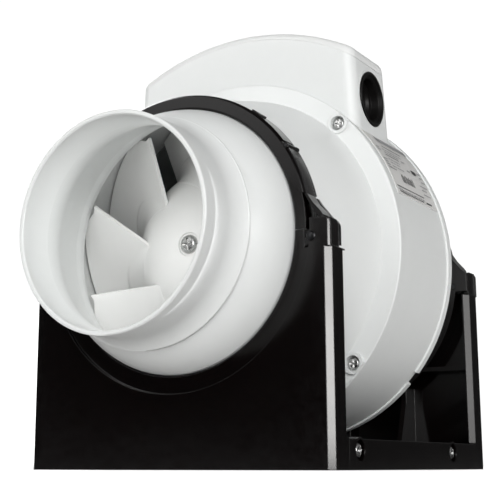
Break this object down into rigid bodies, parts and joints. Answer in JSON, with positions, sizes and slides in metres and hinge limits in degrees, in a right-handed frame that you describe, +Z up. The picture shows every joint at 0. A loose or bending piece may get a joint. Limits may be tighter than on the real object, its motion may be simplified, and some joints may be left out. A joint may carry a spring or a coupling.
{
  "type": "bathroom extractor fan",
  "caption": "Inline mixed-flow duct fan in a moulded shell with a terminal case, clamped by hinged straps onto a two-upright mounting bracket.",
  "frame": {"origin": "centre of the bracket's underside, where it rests on the mounting surface", "axes": "+Z up, +Y along the duct from inlet to outlet, +X towards the cable entry and the strap latches"},
  "size_m": [0.1772, 0.2856, 0.221],
  "materials": {
    "white_moulding": "satin, fine moulded grain",
    "black_moulding": "satin",
    "impeller_moulding": "satin",
    "grey_moulding": "matte",
    "black_rubber": "matte",
    "zinc_steel": "bright zinc plate",
    "black_steel": "black passivated",
    "bearing_steel": "ground",
    "lamination_steel": "stacked laminations",
    "enamelled_copper": "enamelled copper wire",
    "cast_shield": "die cast",
    "lead_insulation": "insulated wire",
    "terminal_plastic": "matte",
    "capacitor_plastic": "satin",
    "label_film": "printed film"
  },
  "bodies": {
    "root": {"base_tray": "black_moulding", "front_upright": "black_moulding", "rear_upright": "black_moulding", "bracket_screws": "zinc_steel", "strap_hinge_pins": "black_steel", "keeper_pins": "black_steel", "inlet_spigot": "white_moulding", "outlet_spigot": "white_moulding", "front_gasket": "black_rubber", "rear_gasket": "black_rubber", "front_shell": "white_moulding", "rear_shell": "white_moulding", "shell_screws": "zinc_steel", "motor_pod": "grey_moulding", "guide_vanes": "grey_moulding", "vane_ring": "grey_moulding", "motor_stator": "lamination_steel", "stator_windings": "enamelled_copper", "front_bearing": "bearing_steel", "rear_bearing": "bearing_steel", "bearing_shield": "cast_shield", "tail_cone": "grey_moulding", "motor_screws": "zinc_steel", "lead_sleeve": "black_rubber", "motor_leads": "lead_insulation", "terminal_case": "white_moulding", "terminal_lid": "white_moulding", "lid_screws": "zinc_steel", "cable_grommet": "black_rubber", "terminal_block": "terminal_plastic", "terminal_screws": "zinc_steel", "capacitor": "capacitor_plastic", "rating_plate": "label_film"},
    "rotor": {"impeller_hub": "impeller_moulding", "impeller_blades": "impeller_moulding", "rotor_shaft": "bearing_steel", "rotor_core": "lamination_steel", "impeller_screw": "zinc_steel"},
    "front_clamp": {"front_strap": "black_moulding", "front_latch_pin": "black_steel"},
    "front_latch_arm": {"front_latch": "black_moulding"},
    "rear_clamp": {"rear_strap": "black_moulding", "rear_latch_pin": "black_steel"},
    "rear_latch_arm": {"rear_latch": "black_moulding"}
  },
  "joints": [
    {"name": "impeller_spin", "type": "hinge", "parent": "root", "child": "rotor", "pos_m": [0, 0, 0.1027], "axis": [0, 1, 0], "continuous": true},
    {"name": "front_strap_hinge", "type": "hinge", "parent": "root", "child": "front_clamp", "pos_m": [-0.0736, -0.0852, 0.1039], "axis": [0, -1, 0], "range_deg": [0, 95]},
    {"name": "front_latch_hinge", "type": "hinge", "parent": "front_clamp", "child": "front_latch_arm", "pos_m": [0.05728, -0.0859, 0.1399], "axis": [0, -1, 0], "range_deg": [0, 120]},
    {"name": "rear_strap_hinge", "type": "hinge", "parent": "root", "child": "rear_clamp", "pos_m": [-0.0736, 0.0852, 0.1039], "axis": [0, -1, 0], "range_deg": [0, 95]},
    {"name": "rear_latch_hinge", "type": "hinge", "parent": "rear_clamp", "child": "rear_latch_arm", "pos_m": [0.05728, 0.0859, 0.1399], "axis": [0, -1, 0], "range_deg": [0, 120]}
  ]
}
